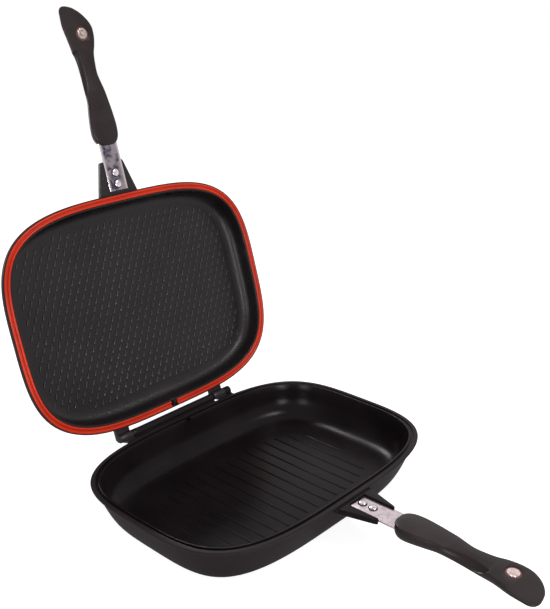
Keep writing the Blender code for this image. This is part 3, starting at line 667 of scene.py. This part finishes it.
seal_outer, seal_inner, seal_back = 0.0022, 0.0093, 0.0483
seal_gap_half = 0.0045
seal_rows = [(seal_outer, 0.0470), (seal_outer, 0.0455), (0.0024, 0.0450), (0.0028, 0.0446)]
seal_rows += [(0.0032, 0.04437), (0.0036, 0.0443), (0.0040, 0.04437), (0.0044, 0.0446)]
seal_rows += [(0.0048, 0.0450), (0.0050, 0.0456), (0.0052, 0.0462), (0.0055, 0.0464)]
seal_rows += [(seal_outer + seal_inner - inset, z) for inset, z in reversed(seal_rows[1:])]
seal_rows.append((seal_rows[-1][0], seal_back))
seal = draw_plate("seal", [(*rim_point(a, seal_outer), seal_back) for a in rim_angles])
pull((0, 0, -0.0013))
follow_section(seal_rows)


def pick_open_edges(test):
    """Select the edges that have only one face and pass a test."""
    bpy.ops.mesh.select_all(action="DESELECT")
    shape = bmesh.from_edit_mesh(seal.data)
    for edge in shape.edges:
        edge.select_set(edge.is_boundary and test(edge))
    bmesh.update_edit_mesh(seal.data)


# The two sheets that still fill the ring go, and its back is closed with a band
pick_faces(lambda middle, normal: middle.xy.length < 0.001 and abs(normal.z) > 0.9)
bpy.ops.mesh.delete(type="ONLY_FACE")
pick_open_edges(lambda edge: True)
bpy.ops.mesh.bridge_edge_loops()
bpy.ops.mesh.select_all(action="SELECT")
bpy.ops.mesh.normals_make_consistent(inside=False)

# The gap for the lug, with both of the seal's ends closed
for x in (-seal_gap_half, seal_gap_half):
    pick_faces(lambda middle, normal: middle.y > 0 and abs(middle.x) < 0.02)
    bpy.ops.mesh.bisect(plane_co=(x, 0, 0), plane_no=(1, 0, 0))
pick_faces(lambda middle, normal: middle.y > 0 and abs(middle.x) < seal_gap_half - 0.0001)
bpy.ops.mesh.delete(type="FACE")
for side in (-1, 1):
    pick_open_edges(lambda edge: edge.verts[0].co.x * side > 0)
    bpy.ops.mesh.edge_face_add()
close_shape()
seal.data.transform(swing)
seal_silicone = grained_finish(
    "seal_silicone", (0.43, 0.022, 0.007), (0.53, 0.032, 0.009), (0.30, 0.38),
    scale=900, depth=0.00002, level=0.20)
dress(seal, seal_silicone, "lid", "seal_silicone", "lid_seal", angle=50)


# The tangs: straps of polished stainless steel that lie in the brackets and run into the grips,
# where they narrow. Each is riveted at one end and screwed at the other.

tang_half_width, tang_thickness = 0.0125, 0.0025
tang_start_y, tang_shoulder_y = -0.1340, -0.1979
tang_taper, tang_tail, tang_tail_share = 0.0140, 0.0360, 0.44
pan_tang_depth, lid_tang_depth = 0.0045, 0.0056  # near faces, from the parting plane


def make_tang(name, side, near):
    """A strap with its near face this deep from the parting plane."""
    z_near, z_far = parting_z - side * near, parting_z - side * (near + tang_thickness)
    tang = draw_plate(name, [
        (-tang_half_width, tang_start_y, z_near), (tang_half_width, tang_start_y, z_near),
        (tang_half_width, tang_start_y, z_far), (-tang_half_width, tang_start_y, z_far),
    ])
    pull((0, tang_shoulder_y - tang_start_y, 0))
    pull((0, -tang_taper, 0))
    bpy.ops.transform.resize(value=(tang_tail_share, 1, 1), center_override=(0, 0, 0))
    pull((0, -tang_tail, 0))
    close_shape()
    round_edges(tang, 0.00035, 3, 40)
    return tang


def recolour(tree, mask, tone):
    """Let a finish turn to another tone where the mask is 1."""
    colour = tree.nodes["Principled BSDF"].inputs["Base Color"]
    mix = tree.nodes.new("ShaderNodeMix")
    mix.data_type = "RGBA"
    mix.inputs["B"].default_value = (*tone, 1)
    tree.links.new(colour.links[0].from_socket, mix.inputs["A"])
    tree.links.new(mask, mix.inputs["Factor"])
    tree.links.new(mix.outputs["Result"], colour)


def paint_edge_highlights(tree, tone):
    """Paint highlights along both long edges of a strap: its steel turns to a lighter tone there.
    """
    apart = tree.nodes.new("ShaderNodeSeparateXYZ")
    tree.links.new(tree.nodes["Texture Coordinate"].outputs["Object"], apart.inputs[0])
    offset = tree.nodes.new("ShaderNodeMath")
    offset.operation = "ABSOLUTE"
    tree.links.new(apart.outputs["X"], offset.inputs[0])
    # Painted highlight: lighter steel towards both long edges
    recolour(tree, blend_values(tree, offset.outputs[0], 0, 1, (0.0090, 0.0122)), tone)


tang_steel = metal_finish(
    "tang_steel", (0.50, 0.42, 0.45), (0.63, 0.53, 0.57), (0.12, 0.24), cloud=200)
# The lid's strap is a darker, bluer copy of the same steel: painted reflection of its dark
# surroundings
lid_tang_steel = metal_finish(
    "lid_tang_steel", (0.055, 0.055, 0.085), (0.27, 0.23, 0.25), (0.12, 0.24), cloud=120)
paint_edge_highlights(lid_tang_steel.node_tree, (0.62, 0.54, 0.56))
pan_tang = make_tang("pan_strap", 1, pan_tang_depth)
dress(pan_tang, tang_steel, "pan", "polished_steel", "pan_tang")
lid_tang = make_tang("lid_strap", -1, lid_tang_depth)
lid_tang.data.transform(swing)
dress(lid_tang, lid_tang_steel, "lid", "polished_steel", "lid_tang")


# The rivets: solid steel, two through each strap and its bracket, with domed heads on the strap
# and flat tails under the bracket.

def round_stack(name, rows, steps=40):
    """A round piece about the Z axis, from rows of radius and height."""
    radius, z = rows[0]
    turns = [2 * pi * i / steps for i in range(steps)]
    piece = draw_plate(name, [(radius * cos(a), radius * sin(a), z) for a in turns])
    for next_radius, next_z in rows[1:]:
        pull((0, 0, next_z - z))
        bpy.ops.transform.resize(
            value=(next_radius / radius, next_radius / radius, 1), center_override=(0, 0, 0))
        radius, z = next_radius, next_z
    close_shape()
    return piece


def rivet(name, side, head, tail, y):
    """A rivet whose head and tail lie these far from the parting plane."""
    shank, head_radius, dome_height = 0.0026, 0.0049, 0.0020
    brim = -head + 0.0003
    rows = [(0.0036, -tail - 0.0016), (0.0042, -tail - 0.0010), (0.0042, -tail)]
    rows += [(shank, -tail + 0.0001), (shank, -head - 0.0001), (0.0047, -head)]
    rows += [(head_radius * cos(radians(a)), brim + dome_height * sin(radians(a)))
             for a in range(0, 85, 12)]
    piece = round_stack(name, rows)
    if side < 0:
        piece.data.transform(Matrix.Rotation(pi, 4, "X"))
    piece.data.transform(Matrix.Translation((0, y, parting_z)))
    return piece


def rivet_finish(name, axis):
    """Steel with painted shade round the side of a head whose top faces along the axis."""
    made = metal_finish(name, (0.46, 0.41, 0.43), (0.68, 0.62, 0.64), (0.14, 0.24), cloud=220)
    tree = made.node_tree
    facing = tree.nodes.new("ShaderNodeVectorMath")
    facing.operation = "DOT_PRODUCT"
    facing.inputs[1].default_value = axis
    tree.links.new(tree.nodes["Texture Coordinate"].outputs["Normal"], facing.inputs[0])
    painted_shade_share = blend_values(tree, facing.outputs["Value"], 1, 0, (0.62, 0.96))
    # Painted shade: the head turns near black where its side faces away from the axis
    recolour(tree, painted_shade_share, (0.060, 0.050, 0.052))
    return made


# Painted shade on the rivet heads' sides, for the pan's rivets and the swung lid's
rivet_steel = rivet_finish("rivet_steel", (0, 0, 1))
lid_rivet_steel = rivet_finish("lid_rivet_steel", swing.to_3x3() @ Vector((0, 0, -1)))
for place, y in (("inner", -0.1416), ("outer", -0.1546)):
    piece = rivet("pan_rivet", 1, pan_tang_depth, 0.0095, y)
    dress(piece, rivet_steel, "pan", "polished_steel", "pan_rivet_" + place)
    piece = rivet("lid_rivet", -1, lid_tang_depth, 0.0130, y)
    piece.data.transform(swing)
    dress(piece, lid_rivet_steel, "lid", "polished_steel", "lid_rivet_" + place)


# The grips: two half round mouldings of brown black phenolic resin, flat where they meet, with a
# waist, a swollen end that curves down, and a hollow for the finger on one side.

grip_half_width, grip_depth, lid_grip_depth = 0.0170, 0.0160, 0.0122
grip_root_y, grip_length = -0.1859, 0.1300
pan_grip_tip, lid_grip_tip = 0.0305, 0.0250
droop_start = 0.1000
lid_lift, lid_lift_length = 0.0029, 0.1250  # the lid's grip starts off the plane and comes to it
grip_stations = (  # place along it, then half width, shift and depth as shares
    (0.004, 0.34, 0.00, 0.72),
    (0.015, 0.60, 0.00, 0.90),
    (0.038, 0.80, 0.00, 1.04),
    (0.077, 0.95, 0.00, 1.10),
    (0.123, 1.00, 0.00, 1.10),
    (0.185, 1.00, 0.00, 1.05),
    (0.285, 0.92, 0.00, 0.97),
    (0.385, 0.80, 0.00, 0.91),
    (0.470, 0.75, -0.06, 0.88),
    (0.546, 0.68, -0.15, 0.87),
    (0.623, 0.64, -0.24, 0.86),
    (0.708, 0.70, -0.28, 0.85),
    (0.790, 0.79, -0.29, 0.83),
    (0.860, 0.93, -0.25, 0.79),
    (0.930, 1.06, -0.26, 0.74),
    (1.000, 1.15, -0.33, 0.67),
    (1.200, 1.19, -0.43, 0.53),
    (1.400, 1.15, -0.55, 0.41),
    (1.600, 1.05, -0.70, 0.32),
    (1.780, 0.88, -0.88, 0.25),
    (1.920, 0.61, -1.03, 0.19),
    (1.980, 0.31, -1.13, 0.14),
    (1.998, 0.12, -1.17, 0.11),
)
grip_half_round = (  # half of its section, across and down from the flat face
    (0.835, 0.000), (0.880, 0.012), (0.930, 0.040), (0.970, 0.085), (0.993, 0.145), (1.000, 0.220),
    (0.997, 0.310), (0.985, 0.420), (0.955, 0.540), (0.900, 0.660), (0.815, 0.770), (0.700, 0.860),
    (0.560, 0.930), (0.390, 0.975), (0.200, 0.998), (0.000, 1.005),
)


def grip_row(place):
    """Half width, shift and depth shares at a place, smoothly between the stations."""
    table = grip_stations
    i = max(k for k in range(len(table) - 1) if table[k][0] <= place)
    t = (place - table[i][0]) / (table[i + 1][0] - table[i][0])
    row = []
    for column in (1, 2, 3):
        def slope(k):
            low, high = table[max(k - 1, 0)], table[min(k + 1, len(table) - 1)]
            return (high[column] - low[column]) / (high[0] - low[0])
        a, b = table[i][column], table[i + 1][column]
        gap = table[i + 1][0] - table[i][0]
        row.append(
            (2 * t ** 3 - 3 * t ** 2 + 1) * a + (t ** 3 - 2 * t ** 2 + t) * gap * slope(i)
            + (3 * t ** 2 - 2 * t ** 3) * b + (t ** 3 - t ** 2) * gap * slope(i + 1))
    return row


def grip_frame(place, on_lid):
    """Where the grip is at a place along it: middle, y, height of its face, half width, depth."""
    width_share, shift_share, depth_share = grip_row(place)
    tip = lid_grip_tip if on_lid else pan_grip_tip
    distance = min(place, 1) * grip_length + max(place - 1, 0) * tip
    half, middle = width_share * grip_half_width, shift_share * grip_half_width
    depth = depth_share * grip_depth
    face_z = parting_z - max(0, distance - droop_start) ** 2 - 0.0003
    if on_lid:
        depth = depth_share * lid_grip_depth * (1 - 0.20 * place)
        half *= 1 - 0.23 * max(0, place - 0.90)
        face_z += 0.0006 + lid_lift * max(0, 1 - distance / lid_lift_length)
    return middle, grip_root_y - distance, face_z, half, depth


magnet_place = (-0.0022, -0.3109, parting_z - 0.000625)
magnet_tilt = asin(0.025 / 0.5)  # the slope of the grip's face there
hollow_y, hollow_size = -0.2674, (0.0066, 0.0270, 0.0085)


def make_grip(name, side):
    """A grip drawn out along its stations, with the hollow and the magnet's seat cut in."""
    on_lid = side < 0
    places = []
    for a, b in zip(grip_stations, grip_stations[1:]):
        places += [a[0] + (b[0] - a[0]) * i / 4 for i in range(4)]
    places.append(1.9979)
    section = list(grip_half_round) + [(-x, z) for x, z in reversed(grip_half_round[:-1])]
    middle, y, face_z, half, depth = grip_frame(places[0], on_lid)
    grip = draw_plate(name, [
        (middle + x * half, y, face_z - side * z * depth) for x, z in section])
    for place in places[1:]:
        to_middle, to_y, to_z, to_half, to_depth = grip_frame(place, on_lid)
        pull((to_middle - middle, to_y - y, to_z - face_z))
        bpy.ops.transform.resize(
            value=(to_half / half, 1, to_depth / depth), center_override=(to_middle, to_y, to_z))
        middle, y, face_z, half, depth = to_middle, to_y, to_z, to_half, to_depth
    close_shape()

    # The hollow on the side that faces left
    select_nothing()
    drop = lid_lift * (1 - (grip_root_y - hollow_y) / lid_lift_length) if on_lid else 0
    bpy.ops.mesh.primitive_uv_sphere_add(
        segments=64, ring_count=32, radius=1,
        location=(-0.016, hollow_y, parting_z - side * (0.0015 + drop)), scale=hollow_size)
    bpy.ops.object.transform_apply(location=True, rotation=True, scale=True)
    combine(grip, bpy.context.object, "DIFFERENCE")

    # The seat of the magnet
    select_nothing()
    bpy.ops.mesh.primitive_cylinder_add(
        vertices=64, radius=0.0081, depth=0.0082, location=magnet_place,
        rotation=(magnet_tilt, 0, 0))
    bpy.ops.object.transform_apply(location=True, rotation=True, scale=True)
    combine(grip, bpy.context.object, "DIFFERENCE")
    round_edges(grip, 0.0004, 2, 38)
    return grip


grip_resin = grained_finish(
    "grip_resin", (0.0155, 0.0093, 0.0103), (0.022, 0.0138, 0.0148), (0.28, 0.38),
    scale=1800, depth=0.00003, patch=30, level=0.17)
pan_grip = make_grip("pan_handle", 1)
dress(pan_grip, grip_resin, "pan", "grip_plastic", "pan_grip")
lid_grip = make_grip("lid_handle", -1)
lid_grip.data.transform(swing)
dress(lid_grip, grip_resin, "lid", "grip_plastic", "lid_grip")


# The magnets: nickel plated discs in the flat faces of both grips, which hold the pan shut. Each
# sits in a ring of red plastic.

magnet_radius, ring_bore, ring_radius = 0.0061, 0.0062, 0.0078
magnet_rows = [(0.0060, -0.0035), (magnet_radius, -0.0034), (magnet_radius, -0.0008)]
magnet_rows += [(0.0059, -0.0004), (0.0055, -0.0003), (0.0030, -0.00028), (0.0010, -0.00027)]
ring_rows = [(0.0076, -0.0036), (ring_radius, -0.0035), (ring_radius, -0.0010)]
ring_rows += [(0.0077, -0.0008), (0.0064, -0.0008)]


def set_in_grip(piece, side):
    """Tip a round piece to the curve of the grip's face and put it in its seat."""
    if side < 0:
        piece.data.transform(Matrix.Rotation(pi, 4, "X"))
    piece.data.transform(Matrix.Rotation(magnet_tilt, 4, "X"))
    piece.data.transform(Matrix.Translation(magnet_place))
    if side < 0:
        piece.data.transform(swing)


pan_nickel = metal_finish(
    "magnet_nickel", (0.52, 0.36, 0.34), (0.80, 0.66, 0.65), (0.18, 0.30), cloud=350)
# The lid's disc is a darker copy of the same nickel: painted shade, with dark patches of painted
# reflection
lid_nickel = metal_finish(
    "lid_nickel", (0.10, 0.065, 0.055), (0.50, 0.41, 0.39), (0.18, 0.30), cloud=320)
ring_plastic = grained_finish(
    "ring_plastic", (0.060, 0.014, 0.010), (0.110, 0.026, 0.016), (0.35, 0.45),
    scale=1500, depth=0.00002, patch=200)
for label, side, nickel in (("pan", 1, pan_nickel), ("lid", -1, lid_nickel)):
    magnet = round_stack(label + "_disc", magnet_rows, 64)
    set_in_grip(magnet, side)
    dress(magnet, nickel, label, "magnet_plating", label + "_magnet")
    ring = round_stack(label + "_disc_ring", ring_rows, 64)
    select_nothing()
    bpy.ops.mesh.primitive_cylinder_add(vertices=64, radius=ring_bore, depth=0.02)
    combine(ring, bpy.context.object, "DIFFERENCE")
    set_in_grip(ring, side)
    dress(ring, ring_plastic, label, "magnet_ring", label + "_magnet_ring")


# The grip screws: steel machine screws, sunk in the backs of the grips and driven into the ends of
# the straps. The frame's own screws are kept, as only their heads show.

screw_steel = metal_finish(
    "screw_steel", (0.55, 0.54, 0.55), (0.75, 0.74, 0.75), (0.20, 0.32), cloud=200)
for label in ("pan", "lid"):
    for place in ("front", "rear"):
        dress_kept(label + "_grip_screw_" + place, screw_steel)


# The studio: a white floor under the pan, white all round, small soft boxes where the photo's
# glints point to, and the camera where the photograph was taken from.

def node_math(tree, operation, first, second):
    """The result of a sum on two values."""
    step = tree.nodes.new("ShaderNodeMath")
    step.operation = operation
    tree.links.new(first, step.inputs[0])
    tree.links.new(second, step.inputs[1])
    return step.outputs["Value"]


select_nothing()
bpy.ops.mesh.primitive_plane_add(size=6, location=(0, 0, 0))
floor = bpy.context.object
floor.name = "floor"
white, tree, shader, place = material_nodes("floor_white")
shader.inputs["Base Color"].default_value = (0.50, 0.50, 0.50, 1)
shader.inputs["Roughness"].default_value = 0.9
shader.inputs["Specular IOR Level"].default_value = 0
rays = tree.nodes.new("ShaderNodeLightPath")
reach = tree.nodes.new("ShaderNodeVectorMath")
reach.operation = "LENGTH"
tree.links.new(place, reach.inputs[0])
# The pan's sides mirror the floor next to them, which lies in the pan's own shade
shade = blend_values(tree, reach.outputs["Value"], 0.25, 1, (0.30, 0.80))
mirrored = node_math(tree, "MULTIPLY", rays.outputs["Is Glossy Ray"], shade)
seen = node_math(tree, "MAXIMUM", rays.outputs["Is Camera Ray"], mirrored)
glow = tree.nodes.new("ShaderNodeEmission")
tree.links.new(blend_values(tree, seen, 0, 0.84, (0, 1)), glow.inputs["Strength"])
both = tree.nodes.new("ShaderNodeAddShader")
tree.links.new(shader.outputs["BSDF"], both.inputs[0])
tree.links.new(glow.outputs["Emission"], both.inputs[1])
tree.links.new(both.outputs["Shader"], tree.nodes["Material Output"].inputs["Surface"])
floor.data.materials.append(white)

world = bpy.data.worlds.new("white_room")
bpy.context.scene.world = world
world.use_nodes = True
tree = world.node_tree
sky = tree.nodes["Background"]
sky.inputs["Color"].default_value = (1, 1, 1, 1)
rays = tree.nodes.new("ShaderNodeLightPath")
seen = node_math(
    tree, "MAXIMUM", rays.outputs["Is Camera Ray"], rays.outputs["Is Glossy Ray"])
seen = node_math(tree, "MAXIMUM", seen, rays.outputs["Is Transmission Ray"])
tree.links.new(blend_values(tree, seen, 0.4, 1.0, (0, 1)), sky.inputs["Strength"])


def soft_lamp(name, place, aim, size, power):
    """A square soft box at a place, facing a point."""
    light = bpy.data.lights.new(name, "AREA")
    light.size = size
    light.energy = power
    lamp = bpy.data.objects.new(name, light)
    bpy.context.collection.objects.link(lamp)
    facing = (Vector(aim) - Vector(place)).to_track_quat("-Z", "Y").to_matrix().to_4x4()
    lamp.matrix_world = Matrix.Translation(place) @ facing


soft_lamp("top_box", (0.30, -0.68, 1.27), (0, 0, 0.05), 0.25, 9.0)
soft_lamp("back_box", (0.57, 1.00, 1.12), (0.05, 0, 0.05), 0.22, 9.0)
soft_lamp("left_box", (-0.46, 1.68, 0.36), (0, 0.2, 0.4), 0.50, 5.0)
soft_lamp("side_box", (-1.45, -0.30, 0.25), (0, 0, 0.15), 0.40, 7.5)
soft_lamp("front_box", (-0.70, -1.58, 0.32), (0, 0.1, 0.12), 0.34, 12.0)

camera = bpy.data.cameras.new("camera")
eye = bpy.data.objects.new("camera", camera)
bpy.context.collection.objects.link(eye)
bpy.context.scene.camera = eye
# Its axes and place were fitted to the outline, the seal and the handles of the photograph
right = Vector((0.680408, -0.732665, -0.015691))
down = Vector((-0.271393, -0.232031, -0.934081))
ahead = Vector((0.680728, 0.639815, -0.356716))
camera_place = (-0.619520, -0.612194, 0.547357)
eye.matrix_world = (Matrix.Translation(camera_place)
                    @ Matrix([right, -down, -ahead]).transposed().to_4x4())
camera.sensor_fit = "VERTICAL"
camera.sensor_height = 36
camera.lens = 53.243
camera.shift_x = -0.00525
camera.shift_y = 0.00459
camera.clip_start = 0.01

bpy.context.scene.view_settings.view_transform = "Standard"
